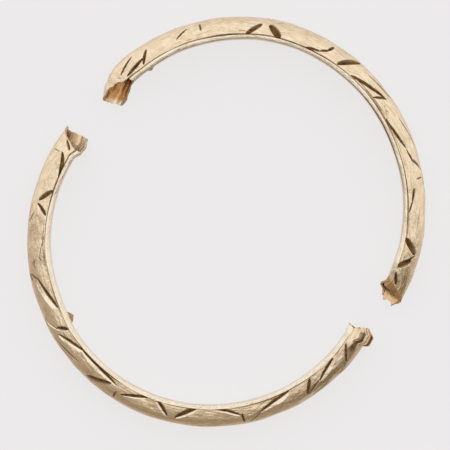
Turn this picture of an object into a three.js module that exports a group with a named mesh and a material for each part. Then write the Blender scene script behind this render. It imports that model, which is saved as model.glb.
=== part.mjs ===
// A hollow gold bangle that has been snipped right through in two places.
// Its two loose halves lie flat and a little apart. Each half is a tube made from an engraved
// domed outer shell and a plain inner band, closed by a run of solder along both edges.
// Millimetres. +Z is the bangle's axis, z = 0 is the surface that it lies on, and the origin is
// the middle of the two halves together.

import * as THREE from 'three';
import { mergeVertices } from 'three/addons/utils/BufferGeometryUtils.js';

// ---- Driving dimensions ----

const TUBE_WIDTH = 4.35;         // from the face at the wrist to the crown of the dome
const DOME_DEPTH = 2.88;         // of the shell's outside, from the dome's middle to its crown
const DOME_HALF_HEIGHT = 2.92;   // of the shell's outside, through the corners of its facets
const DOME_FACET = 15;           // degrees of dome to each facet
const DOME_FACETS = 13;          // odd, so one facet lies flat on the ground and one faces out
const SHEET = 0.4;               // thickness of both sheets
const BAND_HEIGHT = 5.3;         // across the inner band, a little less than the dome
const RIM_WIDTH = 0.8;           // radius of the band's rounded edges
const BAND_FACETS = 10;
const SEAM_WIDTH = 0.15;         // of the solder between the two sheets' edges
const SEAM_CLEARANCE = 0.07;     // on both sides of the solder
const PULLED_APART = 9.06;       // how far the lower half has slid from its place in the ring
const PULL_DIRECTION = 234.4;    // degrees from +X, anticlockwise

const BODY_STEP = 4.4;           // degrees between sections along a half
const END_STEP = 1.5;            // the same beside a snipped end
const FLAP_STEP = 1;             // the same at the torn flap
const TRIM_MARGIN = 5;           // degrees over which sections lean over to meet the cut

const { clamp, degToRad, lerp, smoothstep } = THREE.MathUtils;
const MID_HEIGHT = DOME_HALF_HEIGHT * Math.cos(degToRad(DOME_FACET / 2));
const DOME_MIDDLE = TUBE_WIDTH - DOME_DEPTH;
const DOME_HALF_ANGLE = (DOME_FACET * DOME_FACETS) / 2;

// A half is out of round by a few tenths, and the snips bent its ends. Its line gives the radius
// of the face at the wrist and of the dome's crown at a few angles, in degrees.
//
// An end gives the angles at which the snips left the tube's four corners, what part of the
// tube's height they left, and how far before the cut, in degrees, they began to flatten it.

const UPPER_HALF = {
  name: 'upper',
  centre: [0, 0],
  line: [
    [-34, 31.4, 34.9], [-31.6, 30.7, 35.55], [-29.2, 30.3, 35.45], [-27.2, 30.9, 35.4],
    [-18, 30.85, 35.25], [2, 30.6, 34.85], [20, 30.35, 34.72], [48, 30.5, 34.85],
    [78, 30.75, 35.12], [108, 30.5, 35.08], [128, 30.12, 35.02], [132, 30.08, 34.9],
    [135, 29.3, 34.6], [138, 28.6, 33.9], [143, 28.5, 32.4],
  ],
  start: {
    innerTop: -27, outerTop: -30, outerBottom: -33.6, innerBottom: -31.8,
    crush: 0.42, crushReach: 7,
  },
  finish: {
    innerTop: 131.5, outerTop: 140.5, outerBottom: 142.8, innerBottom: 141,
    crush: 0.86, crushReach: 6,
  },
  flap: null,
};

const LOWER_HALF = {
  name: 'lower',
  centre: [
    PULLED_APART * Math.cos(degToRad(PULL_DIRECTION)),
    PULLED_APART * Math.sin(degToRad(PULL_DIRECTION)),
  ],
  line: [
    [140.4, 30.1, 34.95], [143.5, 29.4, 34.8], [146, 29.45, 34.8], [149, 30.15, 34.86],
    [180, 30.24, 34.8], [200, 30.1, 34.72], [214, 30.45, 34.8], [250, 30.52, 34.85],
    [285, 30.4, 34.68], [316, 30.28, 34.62], [325, 30.2, 34.5], [326.6, 30.1, 35.5],
    [328.8, 29.85, 35.4], [331.2, 29.75, 34.2],
  ],
  start: {
    innerTop: 145.6, outerTop: 143.8, outerBottom: 141.5, innerBottom: 140.4,
    crush: 0.92, crushReach: 5,
  },
  finish: {
    innerTop: 329, outerTop: 330.6, outerBottom: 329.4, innerBottom: 329.4,
    crush: 0.42, crushReach: 7,
  },
  flap: { angle: 207.8, halfWidth: 2.1, depth: 1 },
};

// ---- Shape of a half along the ring ----

// Inner and outer radius at an angle, eased between the points of a half's line.
function ringRadii(line, angle) {
  const next = line.findIndex(([at]) => at > angle);
  if (next === 0) return line[0].slice(1);
  if (next === -1) return line.at(-1).slice(1);
  const [before, after] = [line[next - 1], line[next]];
  const blend = smoothstep(angle, before[0], after[0]);
  return [1, 2].map((column) => lerp(before[column], after[column], blend));
}

// A snipped end's landmarks along the ring: its most cut-back and furthest corners, and the root
// where its sections begin to lean. towards is 1 at the finish and -1 at the start.
function landmarks(end, towards) {
  const corners = [end.innerTop, end.outerTop, end.outerBottom, end.innerBottom];
  const along = corners.map((corner) => corner * towards);
  const nearest = Math.min(...along) * towards;
  const furthest = Math.max(...along) * towards;
  return { nearest, furthest, root: nearest - towards * TRIM_MARGIN };
}

// The angle at which the snips cut a point of the section. depthShare and rise run from 0 to 1,
// outwards from the wrist and up from the ground.
function cutAngle(end, depthShare, rise) {
  const bottom = lerp(end.innerBottom, end.outerBottom, depthShare);
  const top = lerp(end.innerTop, end.outerTop, depthShare);
  return lerp(bottom, top, rise);
}

// A section's angle at one of its points. Between an end's root and its furthest corner the
// section leans over, so that the last one lies on the cut.
function leaningAngle(half, angle, depthShare, rise) {
  for (const [end, towards] of [[half.start, -1], [half.finish, 1]]) {
    const { root, furthest } = landmarks(end, towards);
    const share = (angle - root) / (furthest - root);
    if (share > 0) return lerp(root, cutAngle(end, depthShare, rise), share);
  }
  return angle;
}

// Height left by the snips at an angle, as a part of the whole.
function squeezeAt(half, angle) {
  let squeeze = 1;
  for (const [end, towards] of [[half.start, -1], [half.finish, 1]]) {
    const { nearest, furthest } = landmarks(end, towards);
    const begin = nearest - towards * end.crushReach;
    const share = clamp((angle - begin) / (furthest - begin), 0, 1);
    squeeze *= lerp(1, end.crush, smoothstep(share, 0, 1));
  }
  return squeeze;
}

function evenSteps(from, to, step) {
  const count = Math.max(1, Math.round((to - from) / step));
  return Array.from({ length: count }, (_, index) => lerp(from, to, index / count));
}

// The angles of a half's sections, before those at the ends lean over.
function sectionAngles(half) {
  const atStart = landmarks(half.start, -1);
  const atFinish = landmarks(half.finish, 1);
  const stops = [[atStart.furthest, END_STEP], [atStart.root, BODY_STEP]];
  if (half.flap) {
    stops.push([half.flap.angle - half.flap.halfWidth, FLAP_STEP]);
    stops.push([half.flap.angle + half.flap.halfWidth, BODY_STEP]);
  }
  stops.push([atFinish.root, END_STEP], [atFinish.furthest, END_STEP]);
  const angles = stops.slice(1).flatMap(([to], index) => {
    const [from, step] = stops[index];
    return evenSteps(from, to, step);
  });
  return [...angles, atFinish.furthest];
}

// Puts a point of the section at an angle of the ring. section(squeeze) gives its depth from the
// wrist and its height over the ground.
function placeOnRing(half, section, angle) {
  const [wholeDepth, wholeHeight] = section(1);
  const at = leaningAngle(half, angle, wholeDepth / TUBE_WIDTH, wholeHeight / (2 * MID_HEIGHT));
  const [depth, height] = section(squeezeAt(half, at));
  const [inner, outer] = ringRadii(half.line, at);
  const radius = lerp(inner, outer, depth / TUBE_WIDTH);
  const turn = degToRad(at);
  const [centreX, centreY] = half.centre;
  return [centreX + radius * Math.cos(turn), centreY + radius * Math.sin(turn), height];
}

// ---- Sections of the pieces ----
// Each gives depth and height for a place around the sheet, 0 at its bottom edge and 1 at its top
// edge, and a side, 0 on the face nearer the wrist and 1 on the other. squeeze flattens the sheet
// about mid height and keeps its thickness.

function shellSection(around, side, squeeze) {
  const turn = degToRad(DOME_HALF_ANGLE * (2 * around - 1));
  const offset = (side - 1) * SHEET;
  const depth = DOME_MIDDLE + (DOME_DEPTH + offset) * Math.cos(turn);
  const midReach = (DOME_HALF_HEIGHT - SHEET / 2) * squeeze;
  const height = MID_HEIGHT + (midReach + SHEET / 2 + offset) * Math.sin(turn);
  return [depth, height];
}

const BAND_EDGE_SHARE = 0.4;     // of the way around the band that each rounded edge takes

function bandSection(around, side, squeeze) {
  const above = around > 0.5 ? 1 : -1;
  const fromEdge = above > 0 ? 1 - around : around;
  const turn = Math.min(fromEdge / BAND_EDGE_SHARE, 1) * (Math.PI / 2);
  const midRadius = RIM_WIDTH - SHEET / 2;
  const offset = (0.5 - side) * SHEET;
  const edgeMiddle = (BAND_HEIGHT / 2 - RIM_WIDTH) * squeeze;
  const depth = RIM_WIDTH - (midRadius + offset) * Math.sin(turn);
  const reach = edgeMiddle + (midRadius * squeeze + offset) * Math.cos(turn);
  return [depth, MID_HEIGHT + above * reach];
}

// above is 1 for the front seam and -1 for the back one.
function seamSection(above, around, side, squeeze) {
  const depth = RIM_WIDTH + SEAM_CLEARANCE + side * SEAM_WIDTH;
  const top = (BAND_HEIGHT / 2 - SHEET / 2) * squeeze + SHEET / 2;
  const fromTop = above > 0 ? 1 - around : around;
  return [depth, MID_HEIGHT + above * (top - fromTop * SHEET)];
}

// The torn flap pushes the band's top edge in over the opening.
function flapBulge(flap, angle, around) {
  if (!flap) return 0;
  const along = smoothstep(1 - Math.abs(angle - flap.angle) / flap.halfWidth, 0, 1);
  const nearTop = smoothstep(around, 0.6, 0.8) * (1 - smoothstep(around, 0.8, 1));
  return flap.depth * along * nearTop;
}

// ---- Pieces ----

// A strip of sheet: a thin box whose width runs around the section, whose thickness is the
// sheet's and whose length runs along the ring.
function sheetStrip(half, aroundSteps, section) {
  const angles = sectionAngles(half);
  const lastSection = angles.length - 1;
  const strip = new THREE.BoxGeometry(1, 1, 1, aroundSteps, 1, lastSection);
  strip.deleteAttribute('normal');
  strip.deleteAttribute('uv');
  const closed = mergeVertices(strip);
  const position = closed.attributes.position;
  for (let index = 0; index < position.count; index += 1) {
    const around = position.getX(index) + 0.5;
    const side = position.getY(index) + 0.5;
    const angle = angles[Math.round((position.getZ(index) + 0.5) * lastSection)];
    const atSqueeze = (squeeze) => section(around, side, squeeze, angle);
    position.setXYZ(index, ...placeOnRing(half, atSqueeze, angle));
  }
  return closed;
}

function gold(color, roughness) {
  return new THREE.MeshStandardMaterial({ color, roughness, metalness: 1 });
}

const SHELL_FINISH = gold('#dcc39a', 0.28);
const BAND_FINISH = gold('#e8d3ab', 0.2);
const SOLDER_FINISH = gold('#c9ab78', 0.4);

function piece(name, geometry, material) {
  const mesh = new THREE.Mesh(geometry, material);
  mesh.name = name;
  return mesh;
}

function outerShell(half) {
  const strip = sheetStrip(half, DOME_FACETS, shellSection);
  return piece(`${half.name}_outer_shell`, strip, SHELL_FINISH);
}

function innerBand(half) {
  const section = (around, side, squeeze, angle) => {
    const [depth, height] = bandSection(around, side, squeeze);
    return [depth - flapBulge(half.flap, angle, around), height];
  };
  return piece(`${half.name}_inner_band`, sheetStrip(half, BAND_FACETS, section), BAND_FINISH);
}

function seam(half, place, above) {
  const section = (around, side, squeeze) => seamSection(above, around, side, squeeze);
  return piece(`${half.name}_seam_${place}`, sheetStrip(half, 1, section), SOLDER_FINISH);
}

function buildHalf(half) {
  const group = new THREE.Group();
  group.add(outerShell(half), innerBand(half), seam(half, 'front', 1), seam(half, 'back', -1));
  return group;
}

// The two halves, moved sideways so that the middle of both together is over the origin.
function buildBangle() {
  const halves = new THREE.Group();
  halves.add(buildHalf(UPPER_HALF), buildHalf(LOWER_HALF));
  const middle = new THREE.Box3().setFromObject(halves).getCenter(new THREE.Vector3());
  halves.position.set(-middle.x, -middle.y, 0);
  const bangle = new THREE.Group();
  bangle.add(halves);
  return bangle;
}

export default buildBangle();
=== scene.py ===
"""Looks of the snipped gold bangle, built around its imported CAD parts.

Each half gets an engraved shell, an inner band and two runs of solder, all fine meshes made here.
Sizes are in millimetres until a mesh is made. Angles are degrees around the ring from +X.
"""

import math

import bpy
import numpy as np
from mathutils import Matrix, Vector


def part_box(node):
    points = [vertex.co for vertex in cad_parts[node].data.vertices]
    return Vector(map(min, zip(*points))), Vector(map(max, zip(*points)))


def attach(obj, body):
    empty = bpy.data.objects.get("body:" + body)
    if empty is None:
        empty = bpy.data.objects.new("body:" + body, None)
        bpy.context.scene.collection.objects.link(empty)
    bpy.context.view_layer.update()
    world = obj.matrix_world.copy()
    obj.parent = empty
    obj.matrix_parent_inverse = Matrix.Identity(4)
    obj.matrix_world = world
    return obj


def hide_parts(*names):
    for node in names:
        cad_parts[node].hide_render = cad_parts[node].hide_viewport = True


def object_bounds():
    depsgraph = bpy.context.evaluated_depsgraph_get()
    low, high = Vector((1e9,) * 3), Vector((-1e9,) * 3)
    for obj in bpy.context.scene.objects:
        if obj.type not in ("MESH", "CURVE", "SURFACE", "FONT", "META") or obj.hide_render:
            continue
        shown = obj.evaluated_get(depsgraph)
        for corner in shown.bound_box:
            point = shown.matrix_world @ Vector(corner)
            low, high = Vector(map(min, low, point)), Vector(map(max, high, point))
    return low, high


# ---- Driving dimensions ----

MM = 0.001
TUBE_WIDTH = 4.35           # from the face at the wrist to the crown of the dome
DOME_DEPTH = 3.35           # from the dome's middle to its crown
DOME_POWER = 2.3            # above 2, the dome has flatter flanks and a tighter crown
HALF_HEIGHT = 2.895         # from the ground to the middle of the tube
SHEET = 0.4                 # thickness of both sheets
BAND_HEIGHT = 5.3
RIM_RADIUS = 0.9            # of the band's rounded edges
RIM_POWER = 3.6             # above 2, the rim is flatter on top than a quarter round
RIM_SHARE = 0.4             # of the band's columns that lie in each rim
BAND_ACROSS = 7.0           # distance over the band from edge to edge, about
SHELL_EDGE = 1.09           # depth of the shell's two edges, beside the solder
SOLDER_WIDTH = 0.18
ROOT_SPREAD = 0.4           # by which the solder's root is wider, between the two sheets
DOME_MIDDLE = TUBE_WIDTH - DOME_DEPTH
RING_RADIUS = 33.0          # where distances along the ring are measured
TRIM_MARGIN = 5.0           # degrees over which sections lean over to meet a torn end

# Each sheet is a grid of stations along the ring and columns around the section.
SHELL_STATIONS = 880
SHELL_AROUND = 100
SHELL_BACK_SHARE = 0.45     # of the shell's columns that lie behind the crown
BAND_STATIONS = 640
BAND_AROUND = 48
SEAM_STATIONS = 640
SEAM_AROUND = 8
INSIDE_STRIDE = 4           # the hidden faces keep every fourth vertex

SCRATCH_COUNT = 80          # fine scratches on each half
LIP_WIDTH = 0.35            # of the raw metal along a torn edge
SEAM_CLEAN = 2.5            # distance from a torn end over which the seam is free of grime
SEAM_RISE = 0.92            # of the seams from the tube's middle, as a share of its half height
SEAM_SHARE = 0.008          # of the band's width that lies in each seam
BEAD_RISE = 0.19            # of the solder from the band's side to the shell's
BEAD_START = -0.04
INSIDE_MARKS = 0.4          # scale of the marks on a sheet's inside, which is smoother

# A half's line gives the radius at the wrist and at the crown at a few angles. An end's edge gives
# the angle where it was snipped at places around the section: 0 is the crown, 90 the front, 180 the
# wrist and 270 the back. Its crush says between which two angles the snips flattened the tube, and
# what share of the height is left at the second. Ragged is the size of the teeth, in degrees.

UPPER = {
    "name": "upper",
    "line": [
        (-34, 31.4, 34.9), (-31.6, 30.7, 35.55), (-29.2, 30.3, 35.45), (-27.2, 30.9, 35.4),
        (-18, 30.85, 35.25), (2, 30.6, 34.85), (20, 30.35, 34.72), (48, 30.5, 34.85),
        (78, 30.75, 35.12), (108, 30.5, 35.08), (128, 30.12, 35.02), (132, 30.08, 34.9),
        (135, 29.3, 34.6), (138, 28.6, 33.9), (143, 28.5, 32.4),
    ],
    "start": {
        "edge": [
            (0, -31.9), (20, -31.6), (48, -31.3), (87, -30.6), (128, -29.3), (150, -28.6),
            (180, -28.4), (205, -29.2), (222, -30.2), (235, -31.8), (243, -33.6), (256, -33.8),
            (265, -33.1), (281, -33.0), (312, -33.5), (322, -34.1), (332, -33.2), (345, -32.2),
        ],
        "crush": (-20, -33.6, 0.42),
        "ragged": 0.12,
    },
    "finish": {
        "edge": [
            (0, 142.6), (20, 142.2), (38, 140.8), (51, 139.2), (69, 136.9), (88, 135.0),
            (105, 133.5), (118, 132.0), (133, 131.0), (150, 131.3), (165, 133.5), (180, 136.5),
            (200, 138.2), (212, 138.0), (222, 140.4), (245, 141.2), (263, 141.8), (303, 142.6),
            (340, 142.9),
        ],
        "crush": (125.5, 142.8, 0.86),
        "ragged": 0.12,
    },
}

LOWER = {
    "name": "lower",
    "line": [
        (140.4, 30.1, 34.95), (143.5, 29.4, 34.8), (146, 29.45, 34.8), (149, 30.15, 34.86),
        (180, 30.24, 34.8), (200, 30.1, 34.72), (214, 30.45, 34.8), (250, 30.52, 34.85),
        (285, 30.4, 34.68), (316, 30.28, 34.62), (325, 30.2, 34.5), (326.6, 30.1, 35.5),
        (328.8, 29.85, 35.4), (331.2, 29.75, 34.2),
    ],
    "start": {
        "edge": [
            (0, 141.4), (20, 142.6), (51, 144.2), (74, 144.65), (91, 145.4), (114, 146.0),
            (133, 145.7), (155, 145.2), (180, 143.6), (205, 141.4), (222, 140.4), (240, 140.65),
            (265, 141.1), (307, 141.9), (335, 142.0), (350, 141.2),
        ],
        "crush": (150.6, 140.4, 0.92),
        "ragged": 0.08,
    },
    "finish": {
        "edge": [
            (0, 328.9), (20, 330.1), (43, 331.1), (60, 330.6), (92, 330.1), (110, 329.3),
            (126, 328.8), (145, 329.4), (180, 329.6), (220, 329.2), (260, 329.0), (300, 329.2),
            (340, 328.8),
        ],
        "crush": (323, 330.6, 0.6),
        "ragged": 0.12,
    },
}

# Cuts of the graver. Each has the places that it runs through as (angle, depth from the wrist), its
# width, the width of its polished slope and how dark it is. A slope of more than 0 lies on the left
# of the way that the cut is drawn, which is the crown's side where the angle rises. The slope is
# painted paler as a painted highlight, and the darkness is grime with painted shade.

UPPER_CUTS = [
    # This cut is not dark: its wide polished slope is a painted highlight beside the fold.
    ([(-28.9, 2.95), (-22.3, 1.05)], 0.3, 0.6, 0.0),
    ([(-27.5, 2.05), (-24.1, 1.1)], 0.45, 0.0, 0.95),
    ([(-21.8, 1.02), (-18.6, 2.9)], 0.75, 0.0, 1.0),
    ([(-19.4, 2.2), (-17.1, 3.33)], 0.3, 0.0, 0.9),
    ([(-16.4, 3.34), (-12.1, 1.07)], 0.82, 0.0, 1.0),
    ([(-3.1, 1.16), (0.5, 1.8)], 0.24, 0.0, 0.9),
    ([(0.8, 1.82), (4.7, 2.28)], 0.34, 0.0, 1.0),
    ([(8.1, 3.84), (7.7, 3.0)], 0.2, 0.0, 0.8),
    ([(5.8, 4.2), (8.3, 4.05)], 0.16, 0.0, 0.6),
    ([(10.4, 4.24), (14, 3.1), (17.8, 2.59)], 0.34, 0.1, 0.9),
    ([(18.6, 2.54), (21.5, 2.15), (25.4, 1.7), (29.8, 1.23)], 0.42, 0.12, 1.0),
    ([(16.4, 4.25), (28, 3.45)], 0.2, 0.0, 0.7),
    ([(33.4, 2.1), (33.8, 2.35)], 0.22, 0.0, 0.4),
    ([(35.3, 3.21), (38.1, 1.42)], 0.34, -0.25, 0.8),
    ([(36.1, 3.15), (41, 2.3), (48.8, 1.22)], 0.46, 0.0, 1.0),
    ([(49.3, 4.1), (54.9, 1.34)], 0.7, 0.0, 0.9),
    ([(35.6, 3.96), (44.9, 3.6)], 0.18, 0.0, 0.8),
    ([(34, 4.2), (41, 3.85)], 0.16, 0.0, 0.7),
    ([(58.9, 3.55), (59.9, 2.5)], 0.42, 0.0, 1.0),
    ([(59.9, 2.41), (62, 1.73)], 0.36, 0.0, 1.0),
    ([(62.2, 1.55), (64.5, 1.32), (66.8, 1.05)], 0.34, 0.0, 1.0),
    ([(76.4, 0.94), (80.2, 3.08)], 0.95, 0.0, 1.0),
    ([(83, 3.09), (87.7, 0.84)], 0.62, 0.0, 0.95),
    ([(79.6, 4.34), (81.4, 4.34)], 0.5, 0.0, 1.0),
    ([(76, 4.02), (78, 3.73)], 0.15, 0.0, 0.5),
    ([(91.5, 1.5), (96, 2.3)], 0.12, 0.0, 0.4),
    ([(93, 1.4), (97, 2.0)], 0.1, 0.0, 0.4),
    ([(102.7, 3.7), (102.7, 2.63)], 0.32, 0.0, 0.8),
    ([(103.8, 3.25), (104.5, 3.1)], 0.2, 0.0, 0.3),
    ([(106.9, 3.44), (111, 2.2)], 0.26, -0.1, 0.8),
    ([(121.5, 3.19), (124.7, 1.37)], 0.4, 0.0, 1.0),
    ([(124.0, 2.2), (127, 1.85), (131.4, 1.5)], 0.42, 0.0, 1.0),
    ([(126.6, 3.55), (132.9, 2.48)], 0.28, 0.0, 0.9),
    ([(133.6, 2.2), (134.3, 2.7)], 0.16, 0.0, 0.3),
    ([(31.5, 1.38), (39, 1.34), (47.5, 1.37)], 0.14, 0.0, 0.7),
    ([(12, 1.36), (20, 1.33), (29, 1.33)], 0.1, 0.0, 0.5),
]

LOWER_CUTS = [
    ([(145, 3.04), (147.2, 1.77)], 0.34, 0.0, 0.8),
    ([(149.3, 3.84), (149.3, 2.81)], 0.16, 0.0, 0.6),
    ([(149.2, 2.46), (152.5, 1.75), (157, 0.95)], 0.62, 0.15, 1.0),
    ([(162.3, 1.14), (166.2, 2.9)], 0.58, 0.0, 1.0),
    ([(167.8, 3.07), (171, 1.39)], 0.5, 0.1, 0.95),
    ([(160.2, 3.1), (161.3, 2.8)], 0.14, 0.0, 0.4),
    ([(170.5, 3.43), (172.5, 3.8), (173.8, 4.2)], 0.16, 0.0, 0.8),
    ([(177.5, 1.11), (180, 1.5), (185, 2.2)], 0.16, 0.15, 0.6),
    ([(185, 2.2), (186.2, 1.9)], 0.2, 0.0, 0.7),
    ([(186, 3.0), (187, 3.4), (188.5, 3.3)], 0.35, 0.0, 0.6),
    ([(190, 4.3), (192, 4.1)], 0.45, 0.0, 0.9),
    ([(190, 4.1), (191.8, 3.3)], 0.3, 0.0, 0.8),
    ([(191.7, 3.23), (196, 2.5), (203, 1.23)], 0.4, 1.0, 1.0),
    ([(205, 4.12), (209.3, 2.97)], 0.2, 0.25, 0.6),
    ([(209.3, 2.88), (211.5, 1.17)], 0.5, 0.1, 0.95),
    ([(211.3, 3.13), (215, 2.15), (220, 1.1)], 0.4, 0.8, 1.0),
    ([(211.3, 4.15), (222, 3.2)], 0.26, 0.15, 0.9),
    ([(213, 4.3), (220, 3.8)], 0.2, 0.0, 0.7),
    ([(220.3, 1.15), (228, 1.25), (233, 1.5), (236.2, 1.8)], 0.42, 0.55, 0.9),
    ([(227, 3.85), (231, 3.1), (234.3, 2.14)], 0.75, 0.0, 0.85),
    ([(237.4, 4.01), (237.4, 2.88)], 0.28, 0.0, 0.9),
    ([(239.3, 2.97), (247.3, 1.12)], 0.54, 0.35, 0.9),
    ([(251, 0.83), (252.5, 1.8), (255.3, 3.25)], 0.55, 0.3, 0.95),
    ([(258.3, 3.27), (264.7, 0.85)], 0.7, 0.4, 0.95),
    ([(271.3, 0.8), (275, 1.5), (279.3, 2.59)], 0.45, 0.35, 0.9),
    ([(280.3, 3.87), (280, 2.35)], 0.32, 0.0, 0.9),
    ([(282.3, 3.97), (285.8, 2.83)], 0.22, -0.2, 0.6),
    ([(286, 2.83), (291, 1.85), (297, 1.1)], 0.42, 0.95, 0.95),
    ([(302.3, 3.35), (305.5, 1.2)], 0.5, 0.0, 1.0),
    ([(302.7, 3.64), (307.5, 2.7)], 0.32, 0.3, 0.8),
    ([(308.3, 2.71), (311, 2.05), (316, 1.22)], 0.42, 0.8, 0.95),
    ([(303.3, 4.3), (310, 3.85)], 0.3, 0.1, 0.95),
    ([(314.3, 4.23), (319, 3.51)], 0.3, 0.1, 0.9),
    ([(318.7, 3.5), (322.7, 1.49)], 0.45, 0.15, 0.95),
    ([(172.5, 1.35), (180, 1.38), (189, 1.34)], 0.12, 0.0, 0.6),
]

# Small pits as (angle, depth from the wrist, radius).
UPPER_PITS = [
    (63.5, 3.1, 0.14), (64.0, 2.85, 0.12), (72.4, 3.3, 0.12), (73.4, 3.1, 0.14),
    (74.5, 2.95, 0.16), (93.5, 3.2, 0.14), (99.4, 3.25, 0.13), (106.0, 2.45, 0.16),
    (105.2, 2.9, 0.12), (30.5, 2.6, 0.1), (6.0, 2.6, 0.1),
]
LOWER_PITS = [
    (171.7, 2.9, 0.16), (169.5, 1.45, 0.12), (185.6, 2.0, 0.16), (188.7, 1.9, 0.16),
    (187.0, 1.35, 0.12), (190.0, 1.3, 0.13), (184.0, 1.5, 0.1), (207.8, 1.9, 0.16),
    (270.6, 2.9, 0.12), (271.6, 3.15, 0.14), (272.0, 2.7, 0.12), (273.2, 3.1, 0.15),
    (274.4, 2.9, 0.14), (268.8, 1.35, 0.12), (269.8, 1.5, 0.1), (157.5, 2.3, 0.12),
]

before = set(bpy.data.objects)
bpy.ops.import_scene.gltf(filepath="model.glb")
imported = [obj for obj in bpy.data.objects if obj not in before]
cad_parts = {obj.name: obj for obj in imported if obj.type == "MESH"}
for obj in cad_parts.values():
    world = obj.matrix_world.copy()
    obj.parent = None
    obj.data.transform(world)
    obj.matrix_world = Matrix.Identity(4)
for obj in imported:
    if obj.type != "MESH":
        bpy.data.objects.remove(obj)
cad_low, cad_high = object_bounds()
random = np.random.RandomState(11)


# ---- Shape of a half along the ring ----


def ease(share):
    """A smooth rise from 0 to 1."""
    share = np.clip(share, 0, 1)
    return share * share * (3 - 2 * share)


def hump(value, middle, width):
    """1 at the middle, falling smoothly to 0 on both sides."""
    return np.exp(-(((value - middle) / width) ** 2))


def ring_radii(half, angle):
    """Radius at the wrist and at the crown."""
    at, inner, outer = np.array(half["line"], float).T
    after = np.clip(np.searchsorted(at, angle, side="right"), 1, len(at) - 1)
    blend = ease((angle - at[after - 1]) / (at[after] - at[after - 1]))
    return [side[after - 1] + (side[after] - side[after - 1]) * blend for side in (inner, outer)]


def ring_centre(half):
    """Middle of the circle that a half belongs to, from the CAD shell's outermost faces."""
    low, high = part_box(half["name"] + "_outer_shell")
    angle = np.linspace(half["line"][0][0], half["line"][-1][0], 2000)
    outer = ring_radii(half, angle)[1]
    reach_x = outer * np.cos(np.radians(angle))
    reach_y = outer * np.sin(np.radians(angle))
    if half["name"] == "upper":
        return high.x / MM - reach_x.max(), high.y / MM - reach_y.max()
    return low.x / MM - reach_x.min(), low.y / MM - reach_y.min()


def around_tube(depth, height):
    """Where a point lies around the section: 0 at the crown, 90 at the front, 180 at the wrist."""
    out = depth / (TUBE_WIDTH / 2) - 1
    up = height / HALF_HEIGHT - 1
    return np.degrees(np.arctan2(up, out)) % 360


def torn_angle(end, around):
    """Angle at which an end was snipped, with small teeth."""
    at, angle = np.array(end["edge"], float).T
    turn = np.radians(around)
    ragged = np.sin(11 * turn + 1) + 0.7 * np.sin(23 * turn) + 0.5 * np.sin(41 * turn + 2)
    return np.interp(around, at, angle, period=360) + end["ragged"] * ragged


def end_reach(end, towards):
    """Angles of an end's tip and of the root where its sections begin to lean."""
    angles = [angle * towards for _, angle in end["edge"]]
    return max(angles) * towards, (min(angles) - TRIM_MARGIN) * towards


def lean(half, station, around):
    """Angle of each place, where the sections near an end lean over to follow its torn edge."""
    angle = station.copy()
    for end, towards in ((half["start"], -1), (half["finish"], 1)):
        tip, root = end_reach(end, towards)
        share = (station - root) / (tip - root)
        angle = np.where(share > 0, root + (torn_angle(end, around) - root) * share, angle)
    return angle


def squeeze_at(half, angle):
    """Share of the tube's height that the snips left."""
    squeeze = np.ones_like(angle)
    for end in (half["start"], half["finish"]):
        begin, tip, crush = end["crush"]
        squeeze *= 1 + (crush - 1) * ease((angle - begin) / (tip - begin))
    return squeeze


def on_ring(half, angle, depth, height):
    """Points in metres, from places on the tube."""
    inner, outer = ring_radii(half, angle)
    radius = inner + (outer - inner) * depth / TUBE_WIDTH
    turn = np.radians(angle)
    x = half["centre"][0] + radius * np.cos(turn)
    y = half["centre"][1] + radius * np.sin(turn)
    return np.stack([x, y, height], -1) * MM


def stations(half, count):
    """Angles of the sections, from one torn tip to the other."""
    first = end_reach(half["start"], -1)[0]
    last = end_reach(half["finish"], 1)[0]
    return np.linspace(first, last, count + 1)


# ---- The dome's section ----
# turn runs from 0 at the crown to nearly 90 at the front seam, and below 0 on the back.


def dome_section(turn, inset, squeeze):
    """Depth and height of the shell, with its outside sunk by inset and its height squeezed."""
    cos, sin = np.cos(np.radians(turn)), np.sin(np.radians(turn))
    out = np.abs(cos) ** (2 / DOME_POWER)
    up = np.sign(sin) * np.abs(sin) ** (2 / DOME_POWER)
    reach = (HALF_HEIGHT - SHEET / 2) * squeeze + SHEET / 2 - inset
    return DOME_MIDDLE + (DOME_DEPTH - inset) * out, HALF_HEIGHT + reach * up


def dome_turn(depth):
    """Degrees from the crown to the place on the dome's front at a depth from the wrist."""
    share = np.clip((depth - DOME_MIDDLE) / DOME_DEPTH, 0, 1)
    return np.degrees(np.arccos(share ** (DOME_POWER / 2)))


DOME_EDGE = float(dome_turn(SHELL_EDGE))
ARC_TURNS = np.linspace(0, 90, 400)
ARC_STEPS = np.hypot(*[np.diff(side) for side in dome_section(ARC_TURNS, 0, 1)])
ARC_LENGTHS = np.concatenate([[0], np.cumsum(ARC_STEPS)])


def arc(turn):
    """Distance over the dome's outside from the crown."""
    return np.interp(np.abs(turn), ARC_TURNS, ARC_LENGTHS)


# ---- Engraving ----

DEEPEST_MARK = 0.34         # so that no cut or dent goes through the sheet
DEEPEST_CUT = 0.31
BURR_HEIGHT = 0.05          # of the ridge that the graver raised along both sides of a cut
BURR_WIDTH = 0.09
CUT_FADE = 0.12             # length by which a path runs on, because a cut fades out before its end
TAPER_POWER = 0.38          # the lower, the blunter a cut's ends
PIT_DEPTH = 0.08
# Pits are darkened with grime and with painted shade.
PIT_DIRT_AND_SHADE = 0.7


def unrolled(angle, turn):
    """Distance along the ring and distance short of the crown, both in mm."""
    return RING_RADIUS * np.radians(angle), -arc(turn)


def beyond_end(before, end):
    """A place a little past the end of a path."""
    return end + CUT_FADE * (end - before) / math.dist(end, before)


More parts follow.
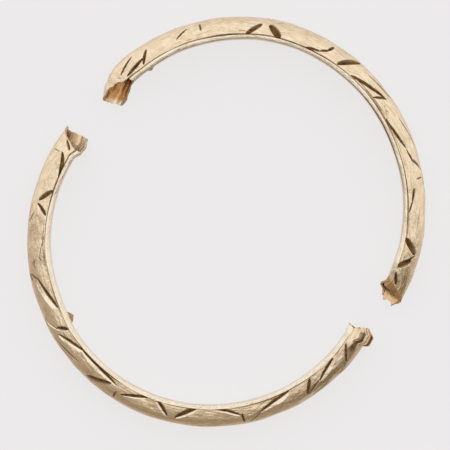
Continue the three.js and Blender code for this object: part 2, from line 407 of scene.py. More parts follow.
def along_path(points, along, across):
    """For each place: signed distance from a path, more than 0 on its left, and share along it."""
    corners = [np.array(unrolled(angle, dome_turn(depth))) for angle, depth in points]
    corners[0] = beyond_end(corners[1], corners[0])
    corners[-1] = beyond_end(corners[-2], corners[-1])
    lengths = [math.dist(a, b) for a, b in zip(corners, corners[1:])]
    best = np.full(along.shape, 1e9)
    signed = np.full(along.shape, 1e9)
    share = np.zeros(along.shape)
    done = 0.0
    for (ax, ay), (bx, by), length in zip(corners, corners[1:], lengths):
        ux, uy = (bx - ax) / length, (by - ay) / length
        px, py = along - ax, across - ay
        run = np.clip(px * ux + py * uy, 0, length)
        gap = np.hypot(px - run * ux, py - run * uy)
        nearer = gap < best
        best = np.where(nearer, gap, best)
        side = np.sign(ux * py - uy * px)
        signed = np.where(nearer, gap * side, signed)
        share = np.where(nearer, (done + run) / sum(lengths), share)
        done += length
    return signed, share


def cut_shape(cut, along, across):
    """Depth of one cut into the sheet, its grime and painted shade, and how polished it is with a
    painted highlight, at each place.

    Its steep side comes down to the bottom at 0, and its gentle side rises from there.
    """
    points, width, slope, tone = cut
    signed, share = along_path(points, along, across)
    taper = (4 * share * (1 - share) + 0.002) ** TAPER_POWER
    out = signed * (np.sign(slope) or 1)
    if slope:
        steep = 1.35 * width * taper
        gentle = max(abs(slope), 0.5 * width) * taper
        fade = out / (0.3 * gentle)
    else:
        steep = 0.85 * width * taper
        gentle = steep
        fade = 0.55 * out / gentle
    bottom = min(max(0.5 * width, 0.36 * abs(slope)), DEEPEST_CUT) * taper
    rising = np.where(out < 0, 1 + out / steep, 1 - out / gentle)
    burr = np.where(out < 0, -out - steep, out - gentle) / BURR_WIDTH
    groove = bottom * np.clip(rising, 0, 1) - BURR_HEIGHT * taper * np.exp(-(burr ** 2))
    # Grime with painted shade down the steep side and a little way up the gentle one.
    steep_dirt_and_shade = np.clip(4 * (1 + out / steep), 0, 1)
    gentle_dirt_and_shade = np.where(out < gentle, np.clip(1 - fade, 0, 1), 0)
    dirt_and_shade = tone * np.where(out < 0, steep_dirt_and_shade, gentle_dirt_and_shade)
    if not slope:
        return groove, dirt_and_shade, np.zeros(out.shape)
    # A painted highlight on the polished slope, stronger towards the cut's far end.
    bright = (0.55 + 0.45 * share) * np.clip(2.5 * out / gentle, 0.2, 1) * (1 - dirt_and_shade)
    return groove, dirt_and_shade, np.where((out > 0) & (out < gentle), bright, 0)


def scratches(half):
    """Fine scratches at random, most of them along the ring, in the same form as the cuts."""
    first, last = half["line"][0][0] + 6, half["line"][-1][0] - 6
    marks = []
    for _ in range(SCRATCH_COUNT):
        angle = random.uniform(first, last)
        depth = random.uniform(1.3, 4.2)
        length = random.uniform(1.0, 7.0)
        drift = random.normal(0, 0.12) * length
        reach = (angle + length, float(np.clip(depth + drift, 1.2, 4.28)))
        width = random.uniform(0.1, 0.16)
        tone = random.uniform(0.15, 0.5)
        marks.append(([(angle, depth), reach], width, 0.0, tone))
    return marks


def engraving(half, angle, turn):
    """Depth of all the cuts and pits, their grime and painted shade, and how polished they are with a
    painted highlight, at each place.
    """
    along, across = unrolled(angle, turn)
    depth = np.zeros(angle.shape)
    dirt_and_shade = np.zeros(angle.shape)
    polish_and_highlight = np.zeros(angle.shape)
    for cut in half["cuts"]:
        first, last = min(cut[0])[0] - 3, max(cut[0])[0] + 3
        near = (angle > first) & (angle < last)
        groove, dark, bright = cut_shape(cut, along[near], across[near])
        depth[near] = np.where(np.abs(groove) > np.abs(depth[near]), groove, depth[near])
        dirt_and_shade[near] = np.maximum(dirt_and_shade[near], dark)
        polish_and_highlight[near] = np.maximum(polish_and_highlight[near], bright)
    for pit_angle, pit_depth, radius in half["pits"]:
        x, y = unrolled(pit_angle, dome_turn(pit_depth))
        bowl = np.clip(1 - np.hypot(along - x, across - y) / radius, 0, 1)
        depth = np.maximum(depth, PIT_DEPTH * bowl)
        dirt_and_shade = np.maximum(dirt_and_shade, PIT_DIRT_AND_SHADE * bowl)
    return depth, dirt_and_shade, polish_and_highlight


def dents(angle, across, count, deepest, widest):
    """Shallow dents of many sizes, spread by chance over the sheet."""
    along = RING_RADIUS * np.radians(angle)
    depth = np.zeros(angle.shape)
    for _ in range(count):
        x = random.uniform(along.min(), along.max())
        y = random.uniform(across.min(), across.max())
        radius = random.uniform(0.35, 1) * widest
        size = random.uniform(0.3, 1) * deepest * radius / widest
        near = np.abs(along - x) < 3 * radius
        far_along = (along[near] - x) / (1.8 * radius)
        far_across = (across[near] - y) / radius
        depth[near] += size * np.exp(-(far_along ** 2 + far_across ** 2))
    return depth


# ---- Torn ends ----
# The lines below run between places given as (angle, depth from the wrist).

# The front wall of the upper half's start is folded down past one line, beside a ridge and a slit
# that is only painted, as a dark line of painted shade.
FOLD_LINE = ((-26.9, 0.8), (-29.8, 4.05))
FOLD_SLOPE = 0.75
FOLD_LENGTH = 2.2           # past the line, where the fold stops going down
FOLD_RAW = 0.7
RIDGE_LINE = ((-28.6, 2.9), (-23.4, 1.2))
RIDGE_WIDTH = 0.32
RIDGE_HEIGHT = 0.3
SLIT_LINE = ((-29.4, 1.6), (-30.9, 3.0))
SLIT_WIDTH = 0.1

# The front wall of the lower half's finish sinks from a top line to a crease, and rises past it to
# a curled lobe with a slot. The places across are depths from the wrist.
CRUMPLE_START = 323.5
TOP_LINE = 1.9
CREASE = 3.1
LOBE = 3.6
LOBE_START = 325.2
LOBE_HEIGHT = 0.35
LOBE_RAW = 0.75
SLOT_LINE = ((325.9, 4.0), (329.3, 4.0))
SLOT_WIDTH = 0.14
SLOT_DEPTH = 0.35


def from_line(angle, depth, start, finish):
    """Distances along a line and to its left on the ring's plan, and the line's length."""
    ax, ay = RING_RADIUS * math.radians(start[0]), start[1]
    bx, by = RING_RADIUS * math.radians(finish[0]), finish[1]
    length = math.hypot(bx - ax, by - ay)
    ux, uy = (bx - ax) / length, (by - ay) / length
    px, py = RING_RADIUS * np.radians(angle) - ax, depth - ay
    return px * ux + py * uy, ux * py - uy * px, length


def bump_on(angle, depth, line, width):
    """1 along a line, falling smoothly to 0 beside it."""
    along, left, length = from_line(angle, depth, *line)
    gap = np.hypot(along - np.clip(along, 0, length), left)
    return hump(gap, 0, width)


def front_wall(height):
    """1 on the front wall of the tube, falling to 0 below its middle."""
    return ease((height - HALF_HEIGHT) / 1.2 + 0.2)


def fold(angle, depth):
    """The upper half's folded start: how far it was moved up, and how raw it is."""
    past = from_line(angle, depth, *FOLD_LINE)[1]
    ridge = RIDGE_HEIGHT * bump_on(angle, depth, RIDGE_LINE, RIDGE_WIDTH)
    return ridge - FOLD_SLOPE * np.clip(past, 0, FOLD_LENGTH), FOLD_RAW * ease(past / 0.25)


def crumpled_lobe(angle, depth, squeeze):
    """The lower half's crumpled finish: how far it was moved up, and how raw it is."""
    share = ease((angle - CRUMPLE_START) / 3)
    wrist_side = -0.35 * np.clip((TOP_LINE - depth) / TOP_LINE, 0, 1)
    facet = -0.5 * np.clip((depth - TOP_LINE) / (CREASE - TOP_LINE), 0, 1)
    past_crease = 0.3 * ease((depth - CREASE) / 0.35)
    lobe = LOBE_HEIGHT * ease((depth - LOBE) / 0.3) * ease((angle - LOBE_START) / 0.6)
    slot = SLOT_DEPTH * bump_on(angle, depth, SLOT_LINE, SLOT_WIDTH)
    unsqueezed = ease((depth - 1.5) / 0.6) * (1 - squeeze) * HALF_HEIGHT
    rise = wrist_side + facet + past_crease + lobe - slot + unsqueezed
    return share * rise, LOBE_RAW * share * (lobe > 0.15)


def crumple(half, angle, depth, height, squeeze):
    """How far the snips moved the front wall up, and how raw they left it."""
    front = front_wall(height)
    if half["name"] == "upper":
        rise, raw = fold(angle, depth)
    else:
        rise, raw = crumpled_lobe(angle, depth, squeeze)
    return rise * front, raw * front


def crumple_shade(half, angle, depth, height):
    """Painted shade in the slit, the slot and a facet of the crumpled ends, and in a band before the
    lower finish.
    """
    if half["name"] == "upper":
        return 0.7 * bump_on(angle, depth, SLIT_LINE, SLIT_WIDTH) * front_wall(height)
    slot = bump_on(angle, depth, SLOT_LINE, SLOT_WIDTH)
    reach = 0.08 * (331.8 - angle)
    # Painted shade on the facet, and in a band that leads up to it.
    facet = 0.75 * np.clip((reach - np.abs(depth - 2.8)) / 0.2, 0, 1) * ease((angle - 316) / 8)
    smear = 0.44 * hump(depth, CREASE, 0.5) * ease((angle - 299) / 10) * (angle < 325)
    return np.maximum(np.maximum(slot, facet), smear) * front_wall(height)


def edge_nearness(half, angle, around, reach):
    """1 at a torn edge, falling to 0 at a distance of reach."""
    start = (angle - torn_angle(half["start"], around)) * math.radians(1) * RING_RADIUS
    finish = (torn_angle(half["finish"], around) - angle) * math.radians(1) * RING_RADIUS
    return np.clip(1 - np.minimum(start, finish) / reach, 0, 1)


# ---- Meshes ----


def grid_faces(rows, columns, stride, offset, flip):
    """Quads of one face of a sheet, whose vertices are numbered along the ring and then around."""
    width = columns // stride + 1
    row = np.arange(rows // stride)[:, None] * width
    column = np.arange(columns // stride)[None, :]
    corner = offset + row + column
    quads = [corner, corner + width, corner + width + 1, corner + 1]
    if flip:
        quads.reverse()
    return np.stack(quads, -1).reshape(-1, 4).tolist()


def rim_faces(outside, inside, flip):
    """Faces between an edge of the outside and the same edge of the coarser inside."""
    faces = []
    for step in range(len(inside) - 1):
        fine = outside[step * INSIDE_STRIDE:(step + 1) * INSIDE_STRIDE + 1]
        face = [*fine, inside[step + 1], inside[step]]
        faces.append(face[::-1] if flip else face)
    return faces


def sheet_mesh(name, outside, inside, flip):
    """A closed sheet between two grids of points. flip is for a sheet that faces the wrist."""
    rows, columns = outside.shape[0] - 1, outside.shape[1] - 1
    coarse = inside[::INSIDE_STRIDE, ::INSIDE_STRIDE]
    fine_count = outside.shape[0] * outside.shape[1]
    fine = np.arange(fine_count).reshape(rows + 1, columns + 1)
    back = fine_count + np.arange(coarse.shape[0] * coarse.shape[1]).reshape(coarse.shape[:2])
    faces = grid_faces(rows, columns, 1, 0, flip)
    faces += grid_faces(rows, columns, INSIDE_STRIDE, fine_count, not flip)
    faces += rim_faces(fine[:, 0].tolist(), back[:, 0].tolist(), not flip)
    faces += rim_faces(fine[:, -1].tolist(), back[:, -1].tolist(), flip)
    faces += rim_faces(fine[0].tolist(), back[0].tolist(), flip)
    faces += rim_faces(fine[-1].tolist(), back[-1].tolist(), not flip)
    points = np.concatenate([outside.reshape(-1, 3), coarse.reshape(-1, 3)])
    mesh = bpy.data.meshes.new(name)
    mesh.from_pydata(points.tolist(), [], faces)
    mesh.shade_smooth()
    mesh.set_sharp_from_angle(angle=math.radians(50))
    piece = bpy.data.objects.new(name, mesh)
    bpy.context.scene.collection.objects.link(piece)
    return piece


def paint(piece, name, outside, inside):
    """Stores a value for each vertex of a sheet, for its material to read."""
    coarse = inside[::INSIDE_STRIDE, ::INSIDE_STRIDE]
    kind = "FLOAT" if outside.ndim == 2 else "FLOAT_VECTOR"
    values = np.concatenate([outside.reshape(-1), coarse.reshape(-1)]).astype(np.float32)
    attribute = piece.data.attributes.new(name, kind, "POINT")
    attribute.data.foreach_set("value" if kind == "FLOAT" else "vector", values)


def paint_sheet(piece, angle, across, raw, inside_raw, dirt_and_shade, polish_and_highlight):
    """Paints what gold() reads: where its noises lie, how raw it is, its grime and painted shade, and
    how polished it is with a painted highlight.
    """
    along = RING_RADIUS * np.radians(angle)
    marks = np.stack([along, across, np.zeros(angle.shape)], -1)
    clean = np.zeros(angle.shape)
    paint(piece, "marks", marks, INSIDE_MARKS * marks)
    paint(piece, "raw", raw, inside_raw)
    paint(piece, "dirt_and_shade", dirt_and_shade, clean)
    paint(piece, "polish_and_highlight", polish_and_highlight, clean)


def inside_rawness(half, angle, around):
    """The inside is brown, but paler in both starts and along the far lip of the upper finish."""
    if half["name"] == "lower":
        return np.where(angle < 155, 0.3, 1.0)
    lip = edge_nearness(half, angle, around, 1.1) * (angle > 138)
    return np.clip(1 - 1.6 * lip, 0.1, np.where(angle < 0, 0.6, 1.0))


def seam_grime(angle, phase):
    """How much grime lies in a seam: it comes and goes along the ring."""
    slow = np.sin(np.radians(angle * 5 + 60 * phase))
    quick = np.sin(np.radians(angle * 11 + 100 * phase))
    return np.clip(0.55 + 0.3 * (slow + quick), 0.05, 1)


def build_shell(half):
    """The engraved outer sheet, from its back edge over the crown to its front edge."""
    columns = np.linspace(0, 1, SHELL_AROUND + 1)
    turns = np.interp(columns, [0, SHELL_BACK_SHARE, 1], [-DOME_EDGE, 0, DOME_EDGE])
    station, turn = np.meshgrid(stations(half, SHELL_STATIONS), turns, indexing="ij")
    wander = 0.8 * np.sin(np.radians(station * 7)) + 0.6 * np.sin(np.radians(station * 17 + 40))
    turn = turn + np.sign(turn) * wander * ease(np.abs(turn) / DOME_EDGE)
    whole_depth, whole_height = dome_section(turn, 0, 1)
    around = around_tube(whole_depth, whole_height)
    angle = lean(half, station, around)
    squeeze = squeeze_at(half, angle)
    across = np.sign(turn) * arc(turn)
    groove, dirt_and_shade, polish_and_highlight = engraving(half, angle, turn)
    worn = dents(angle, across, count=250, deepest=0.09, widest=1.8)
    worn += dents(angle, across, count=900, deepest=0.05, widest=0.8)
    in_cut = np.clip(groove / 0.1, 0, 1)
    worn += (worn.mean() - worn) * in_cut
    rise, raw = crumple(half, angle, whole_depth, whole_height, squeeze)

    def face(inset):
        depth, height = dome_section(turn, inset, squeeze)
        return on_ring(half, angle, depth, np.maximum(height + rise, 0.0))

    sunk = np.minimum(groove + worn, DEEPEST_MARK)
    piece = sheet_mesh(half["name"] + "_shell_engraved", face(sunk), face(SHEET), False)
    raw = np.maximum(raw, 0.2 * edge_nearness(half, angle, around, LIP_WIDTH))
    seam = 0.35 * ease((np.abs(turn) - DOME_EDGE + 2) / 2) * seam_grime(angle, 3)
    # Painted shade in the crumpled ends' slit, slot and creases.
    fold_shade = crumple_shade(half, angle, whole_depth, whole_height)
    dirt_and_shade = np.maximum(np.maximum(dirt_and_shade, seam), fold_shade)
    paint_sheet(piece, angle, across, raw, inside_rawness(half, angle, around), dirt_and_shade, polish_and_highlight)
    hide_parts(half["name"] + "_outer_shell")
    return piece


def band_section(share, inset, squeeze):
    """Depth and height of the inner band, from its back edge at 0 to its front edge at 1."""
    above = np.where(share > 0.5, 1, -1)
    from_edge = np.where(share > 0.5, 1 - share, share)
    turn = np.minimum(from_edge / RIM_SHARE, 1) * math.pi / 2
    straight = np.clip((from_edge - RIM_SHARE) / (0.5 - RIM_SHARE), 0, 1)
    middle = (BAND_HEIGHT / 2 - RIM_RADIUS) * squeeze
    centre = RIM_RADIUS - SHEET / 2
    offset = SHEET / 2 - inset
    depth = RIM_RADIUS - (centre + offset) * np.sin(turn) ** (2 / RIM_POWER)
    rim = (centre * squeeze + offset) * np.cos(turn).clip(0, 1) ** (2 / RIM_POWER)
    return depth, HALF_HEIGHT + above * (middle * (1 - straight) + rim)


NICK_ANGLE = 123.5
NICK_REACH = 0.35
FLAP_ANGLE = 207.9
FLAP_WIDTH = 2.3            # in degrees, from its middle to each side
FLAP_REACH = 1.05


def band_tears(half, angle, around):
    """How far bits of the band's front edge were pushed in over the wrist opening."""
    front_rim = hump(around, 149, 6)
    if half["name"] == "upper":
        return NICK_REACH * hump(angle, NICK_ANGLE, 1.1) * front_rim
    flap = np.clip(1 - np.abs(angle - FLAP_ANGLE) / FLAP_WIDTH, 0, 1)
    return FLAP_REACH * flap ** 0.65 * front_rim


def band_edge_shade(half, angle, around):
    """Painted shade along the band's inner edge, thickest over one stretch of the upper half."""
    inner_edge = hump(around, 139, 5)
    if half["name"] == "upper":
        return inner_edge * (0.25 + 0.65 * hump(angle, 28, 18))
    return 0.1 * inner_edge


def build_band(half):
    """The plain inner sheet with its two rounded rims."""
    shares = np.linspace(0, 1, BAND_AROUND + 1)
    station, share = np.meshgrid(stations(half, BAND_STATIONS), shares, indexing="ij")
    whole_depth, whole_height = band_section(share, 0, np.ones(station.shape))
    around = around_tube(whole_depth, whole_height)
    angle = lean(half, station, around)
    squeeze = squeeze_at(half, angle)
    across = (share - 0.5) * BAND_ACROSS
    worn = dents(angle, across, count=160, deepest=0.05, widest=1.4)
    tears = band_tears(half, angle, around)
    rise, raw = crumple(half, angle, whole_depth, whole_height, squeeze)

    def face(inset):
        depth, height = band_section(share, inset, squeeze)
        return on_ring(half, angle, depth - tears, np.maximum(height + rise, 0.0))

    inside = face(np.full(worn.shape, SHEET))
    piece = sheet_mesh(half["name"] + "_band_plain", face(worn), inside, True)
    torn = np.clip(tears / 0.3, 0, 1)
    lip = edge_nearness(half, angle, around, LIP_WIDTH)
    raw = np.maximum(np.maximum(raw, 0.2 * lip), 0.8 * torn)
    mouth = edge_nearness(half, angle, around, SEAM_CLEAN)
    in_seam = ease((np.abs(share - 0.5) - 0.5) / SEAM_SHARE + 1)
    seam = in_seam * seam_grime(angle, 1) * (1 - mouth)
    # Painted shade outlines the torn flap and nick.
    tear_shade = 0.62 * torn * (0.7 + 0.8 * np.abs(tears - 0.6))
    # Painted shade along the band's inner edge joins the seam's real grime.
    dirt_and_shade = np.maximum(np.maximum(0.9 * seam, tear_shade), band_edge_shade(half, angle, around))
    polish_and_highlight = np.zeros(angle.shape)
    paint_sheet(piece, angle, across, raw, inside_rawness(half, angle, around), dirt_and_shade, polish_and_highlight)
    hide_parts(half["name"] + "_inner_band")
    return piece


def build_solder(half, side, above):
    """A run of solder: a low rounded bead in the seam, with a wider root between the sheets."""
    shares = np.linspace(0, 1, SEAM_AROUND + 1)
    station, share = np.meshgrid(stations(half, SEAM_STATIONS), shares, indexing="ij")
    middle = SHELL_EDGE - SOLDER_WIDTH / 2
    around = around_tube(np.full(share.shape, middle), HALF_HEIGHT * (1 + SEAM_RISE * above))
    angle = lean(half, station, around)
    squeeze = squeeze_at(half, angle)
    wander = 0.025 * np.sin(np.radians(station * 13)) + 0.02 * np.sin(np.radians(station * 31))
    shift = (share - 0.5) * SOLDER_WIDTH + (1 - share) * wander
    bead = BEAD_START + BEAD_RISE * ease(share)
    lumps = 0.03 * np.sin(np.radians(station * 43)) * np.sin(np.radians(station * 19))
    whole_height = np.full(share.shape, HALF_HEIGHT * (1 + above))
    rise, raw = crumple(half, angle, np.full(share.shape, middle), whole_height, squeeze)
    groove, dirt_and_shade, polish_and_highlight = engraving(half, angle, dome_turn(middle + shift))

    def face(inset, spread):
        depth = middle + shift + (share - 0.5) * spread
        reach = (BAND_HEIGHT / 2 - SHEET / 2) * squeeze + SHEET / 2 + bead + lumps - inset
        return on_ring(half, angle, depth, np.maximum(HALF_HEIGHT + above * reach + rise, 0.0))

    name = half["name"] + "_solder_" + side
    piece = sheet_mesh(name, face(groove, 0.0), face(SHEET, ROOT_SPREAD), above > 0)
    mouth = edge_nearness(half, angle, around, SEAM_CLEAN)
    grime = 0.95 * ease((0.75 - share) / 0.5) * seam_grime(angle, 1) * (1 - mouth)
    dirt_and_shade = np.maximum(grime, dirt_and_shade)
    across = share * SOLDER_WIDTH
    paint_sheet(piece, angle, across, raw, inside_rawness(half, angle, around), dirt_and_shade, polish_and_highlight)
    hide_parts(half["name"] + "_seam_" + side)
    return piece


# ---- Materials ----

# Pale colour of a painted highlight on polished slopes.
POLISHED_HIGHLIGHT = (1.0, 0.91, 0.7)
RAW_TONES = ((0.6, 0.26, 0.045), (0.84, 0.47, 0.17))
# Dark tones of grime, also used for painted shade in creases, slits and on dim facets.
DIRT_AND_SHADE_TONES = ((0.08, 0.034, 0.007), (0.23, 0.12, 0.038))


def add_node(tree, kind, **settings):
    node = tree.nodes.new(kind)
    for name, value in settings.items():
        setattr(node, name, value)
    return node


def noise(tree, vector, scale, detail, stretch=(1, 1, 1)):
    mapping = add_node(tree, "ShaderNodeMapping")
    mapping.inputs["Scale"].default_value = stretch
    texture = add_node(tree, "ShaderNodeTexNoise")
    texture.inputs["Scale"].default_value = scale
    texture.inputs["Detail"].default_value = detail
    tree.links.new(vector, mapping.inputs["Vector"])
    tree.links.new(mapping.outputs["Vector"], texture.inputs["Vector"])
    return texture.outputs["Fac"]


def remap(tree, value, low, high, to_low, to_high):
    node = add_node(tree, "ShaderNodeMapRange")
    for name, number in zip(("From Min", "From Max", "To Min", "To Max"), (low, high, to_low, to_high)):
        node.inputs[name].default_value = number
    tree.links.new(value, node.inputs["Value"])
    return node.outputs["Result"]


def smooth_between(tree, value, low, high):
    node = add_node(tree, "ShaderNodeMapRange", interpolation_type="SMOOTHSTEP")
    node.inputs["From Min"].default_value = low
    node.inputs["From Max"].default_value = high
    tree.links.new(value, node.inputs["Value"])
    return node.outputs["Result"]


def math_node(tree, operation, first, second):
    node = add_node(tree, "ShaderNodeMath", operation=operation)
    for socket, value in zip(node.inputs, (first, second)):
        if isinstance(value, (int, float)):
            socket.default_value = value
        else:
            tree.links.new(value, socket)
    return node.outputs[0]


def times(tree, first, second):
    return math_node(tree, "MULTIPLY", first, second)


def plus(tree, first, second):
    return math_node(tree, "ADD", first, second)


def mix_colors(tree, share, first, second):
    node = add_node(tree, "ShaderNodeMix", data_type="RGBA")
    tree.links.new(share, node.inputs["Factor"])
    for name, color in (("A", first), ("B", second)):
        socket = [s for s in node.inputs if s.name == name and s.type == "RGBA"][0]
        if isinstance(color, tuple):
            socket.default_value = (*color, 1)
        else:
            tree.links.new(color, socket)
    return [s for s in node.outputs if s.type == "RGBA"][0]


def bump(tree, height, distance, under=None):
    node = add_node(tree, "ShaderNodeBump")
    node.inputs["Distance"].default_value = distance
    tree.links.new(height, node.inputs["Height"])
    if under:
        tree.links.new(under, node.inputs["Normal"])
    return node.outputs["Normal"]


def read_paint(tree, name, output="Fac"):
    return add_node(tree, "ShaderNodeAttribute", attribute_name=name).outputs[output]


def gold_color(tree, noises, paints, light, deep):
    """Two tones of gold, paler with a painted highlight where it is polished, brown where it is raw,
    and dark with grime and painted shade.
    """
    grain, mottling = noises["grain"], noises["mottling"]
    tone = plus(tree, times(tree, noises["clouds"], 0.3), times(tree, mottling, 0.4))
    tone = plus(tree, tone, times(tree, noises["streaks"], 0.3))
    color = mix_colors(tree, remap(tree, tone, 0.4, 0.66, 0, 1), light, deep)
    # Polished slopes are painted paler: a painted highlight.
    color = mix_colors(tree, times(tree, paints["polish_and_highlight"], 0.85), color, POLISHED_HIGHLIGHT)
    raw_share = times(tree, paints["raw"], remap(tree, grain, 0.3, 0.7, 0.75, 1.0))
    raw_tone = mix_colors(tree, remap(tree, mottling, 0.4, 0.6, 0, 1), *RAW_TONES)
    color = mix_colors(tree, raw_share, color, raw_tone)
    dirt_and_shade_tone = mix_colors(tree, remap(tree, mottling, 0.38, 0.62, 0, 1), *DIRT_AND_SHADE_TONES)
    # Grime and painted shade darken the colour.
    return mix_colors(tree, paints["dirt_and_shade"], color, dirt_and_shade_tone)


def gold_roughness(tree, noises, paints, roughness):
    rough = remap(tree, noises["streaks"], 0.3, 0.7, roughness - 0.06, roughness + 0.1)
    for name, share in (("raw", 0.2), ("polish_and_highlight", -0.08), ("dirt_and_shade", 0.3)):
        rough = plus(tree, rough, times(tree, paints[name], share))
    return rough


def gold(name, light, deep, roughness, streak_depth):
    """Gold with drawn streaks, clouding, grime, painted shade and painted highlights. light and deep
    are its two tones.
    """
    material = bpy.data.materials.new(name)
    material.use_nodes = True
    tree = material.node_tree
    shader = tree.nodes["Principled BSDF"]
    marks = read_paint(tree, "marks", "Vector")
    noises = {
        "clouds": noise(tree, marks, 0.45, 3, (1, 1.6, 1)),
        "streaks": noise(tree, marks, 1.0, 4, (0.25, 6, 1)),
        "grain": noise(tree, marks, 7.0, 2),
        "mottling": noise(tree, marks, 1.6, 4, (0.6, 1.3, 1)),
    }
    paints = {kind: read_paint(tree, kind) for kind in ("raw", "polish_and_highlight", "dirt_and_shade")}
    patchy_dirt_and_shade = times(tree, paints["dirt_and_shade"], remap(tree, noises["grain"], 0.3, 0.7, 0.85, 1.15))
    paints["dirt_and_shade"] = smooth_between(tree, patchy_dirt_and_shade, 0.1, 0.85)
    tree.links.new(gold_color(tree, noises, paints, light, deep), shader.inputs["Base Color"])
    tree.links.new(gold_roughness(tree, noises, paints, roughness), shader.inputs["Roughness"])
    tree.links.new(remap(tree, paints["dirt_and_shade"], 0.3, 1, 1, 0), shader.inputs["Metallic"])
    shader.inputs["Specular IOR Level"].default_value = 0.1
    depths = {"clouds": 0.00015, "mottling": 0.00013, "streaks": streak_depth, "grain": 0.00001}
    relief = None
    for kind, depth in depths.items():
        relief = bump(tree, noises[kind], depth, relief)
    tree.links.new(relief, shader.inputs["Normal"])
    return material


# ---- Stage ----

FLOOR_REACH = 2000.0        # from the middle to each side
FLOOR_GAP = 0.05            # below the object, so that the two don't share a plane
FLOOR_GREY = 0.14
FLOOR_GLOW = (0.84, 0.82, 0.83)
FLOOR_GLOW_STRENGTH = 0.87
VIEW_WIDTH = 84.4
VIEW_SHIFT = (-0.19, -0.64)
LENS = 500
SENSOR_WIDTH = 36


def grey(level):
    return (level, level, level)


def make_floor():
    """A pale floor that glows a little, so that the object's shadow on it stays soft and faint."""
    reach = FLOOR_REACH * MM
    corners = [(-reach, -reach, 0), (reach, -reach, 0), (reach, reach, 0), (-reach, reach, 0)]
    mesh = bpy.data.meshes.new("floor")
    mesh.from_pydata(corners, [], [(0, 1, 2, 3)])
    floor = bpy.data.objects.new("floor", mesh)
    floor.location.z = -FLOOR_GAP * MM
    bpy.context.scene.collection.objects.link(floor)
    material = bpy.data.materials.new("pale_floor")
    material.use_nodes = True
    shader = material.node_tree.nodes["Principled BSDF"]
    shader.inputs["Base Color"].default_value = (*grey(FLOOR_GREY), 1)
    shader.inputs["Roughness"].default_value = 0.9
    shader.inputs["Emission Color"].default_value = (*FLOOR_GLOW, 1)
    shader.inputs["Emission Strength"].default_value = FLOOR_GLOW_STRENGTH
    floor.data.materials.append(material)
    floor.visible_glossy = False


def color_ramp(tree, value, stops):
    ramp = add_node(tree, "ShaderNodeValToRGB")
    tree.links.new(value, ramp.inputs["Fac"])
    points = ramp.color_ramp.elements
    while len(points) < len(stops):
        points.new(0.5)
    for point, (position, color) in zip(points, stops):
        point.position = position
        point.color = (*color, 1)
    return ramp.outputs["Color"]


def turned_towards(tree, direction, axis):
    """How far a direction points along an axis, from -1 to 1."""
    node = add_node(tree, "ShaderNodeVectorMath", operation="DOT_PRODUCT")
    node.inputs[1].default_value = axis
    tree.links.new(direction, node.inputs[0])
    return node.outputs["Value"]


# Light that the studio sends from each side, from its dim side at 0 to its bright side at 1.
BRIGHT_SIDE = (0.15, 0.99, 0.0)
SIDE_LIGHT = [
    (0, 0.33), (0.045, 0.345), (0.14, 0.42), (0.33, 0.48), (0.42, 0.55), (0.45, 0.66), (0.475, 0.76),
    (0.52, 0.84), (0.6, 0.92), (0.85, 1.0), (1, 0.78),
]
# Dim light is browner.
LIGHT_TINT = [
    (0, (0.05, 0.03, 0.015)), (0.18, (0.177, 0.132, 0.09)), (0.4, (0.4, 0.343, 0.288)),
    (0.6, (0.607, 0.543, 0.527)), (1, (1.0, 1.0, 1.03)),
]
DIM_CORNER = (0.63, -0.67, 0.39)
OVERHEAD_LIGHT = 1.2
GROUND_LIGHT = 0.68
CORNER_LIGHT = 0.2


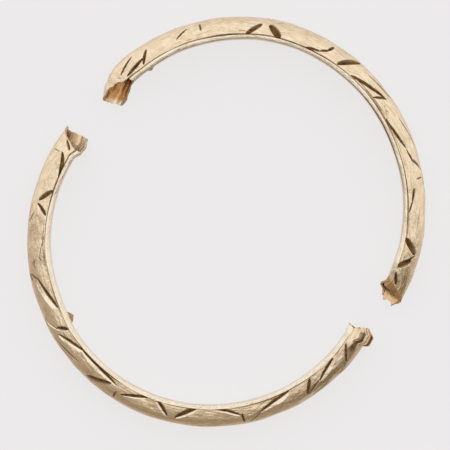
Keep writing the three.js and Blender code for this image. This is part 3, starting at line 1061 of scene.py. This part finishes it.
def make_world():
    """A studio that is bright overhead and to +Y, and dim and brown to -Y and in one corner."""
    world = bpy.data.worlds.new("studio")
    bpy.context.scene.world = world
    world.use_nodes = True
    tree = world.node_tree
    direction = add_node(tree, "ShaderNodeTexCoord").outputs["Generated"]
    axes = add_node(tree, "ShaderNodeSeparateXYZ")
    tree.links.new(direction, axes.inputs["Vector"])
    side = remap(tree, turned_towards(tree, direction, BRIGHT_SIDE), -1, 1, 0, 1)
    light = color_ramp(tree, side, [(at, grey(level)) for at, level in SIDE_LIGHT])
    below = remap(tree, axes.outputs["Z"], -0.75, -0.1, 0.6, 0)
    light = mix_colors(tree, below, light, grey(GROUND_LIGHT))
    overhead = smooth_between(tree, axes.outputs["Z"], 0.93, 0.995)
    light = mix_colors(tree, overhead, light, grey(OVERHEAD_LIGHT))
    corner = smooth_between(tree, turned_towards(tree, direction, DIM_CORNER), 0.86, 0.98)
    light = mix_colors(tree, corner, light, grey(CORNER_LIGHT))
    tinted = color_ramp(tree, light, LIGHT_TINT)
    tree.links.new(tinted, tree.nodes["Background"].inputs["Color"])


def make_camera():
    """Straight above, with a long lens, as wide as the object and a narrow margin."""
    camera_data = bpy.data.cameras.new("camera")
    camera_data.lens = LENS
    camera_data.sensor_width = SENSOR_WIDTH
    camera = bpy.data.objects.new("camera", camera_data)
    distance = VIEW_WIDTH * MM * LENS / SENSOR_WIDTH
    middle = (cad_low + cad_high) / 2
    shift_x, shift_y = VIEW_SHIFT
    camera.location = (middle.x + shift_x * MM, middle.y + shift_y * MM, middle.z + distance)
    bpy.context.scene.collection.objects.link(camera)
    bpy.context.scene.camera = camera


# ---- Build ----


def finish_piece(piece, material, body):
    piece.data.materials.append(material)
    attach(piece, body)


for half, cuts, pits in ((UPPER, UPPER_CUTS, UPPER_PITS), (LOWER, LOWER_CUTS, LOWER_PITS)):
    half["centre"] = ring_centre(half)
    half["cuts"] = cuts + scratches(half)
    half["pits"] = pits

shell_gold = gold(
    "shell_gold", light=(1.0, 0.84, 0.6), deep=(0.75, 0.57, 0.34),
    roughness=0.2, streak_depth=0.00002,
)
# The band's gold is paler than the shell's: a painted highlight on its rims.
highlit_band_gold = gold(
    "highlit_band_gold", light=(1.0, 0.9, 0.71), deep=(0.86, 0.72, 0.5),
    roughness=0.14, streak_depth=0.000008,
)
solder_gold = gold(
    "solder_gold", light=(0.9, 0.76, 0.54), deep=(0.78, 0.62, 0.4),
    roughness=0.28, streak_depth=0.000012,
)

for half in (UPPER, LOWER):
    body = half["name"] + "_half"
    finish_piece(build_shell(half), shell_gold, body)
    finish_piece(build_band(half), highlit_band_gold, body)
    for side, above in (("front", 1), ("back", -1)):
        finish_piece(build_solder(half, side, above), solder_gold, body)

make_floor()
make_world()
make_camera()
bpy.context.scene.view_settings.view_transform = "Standard"
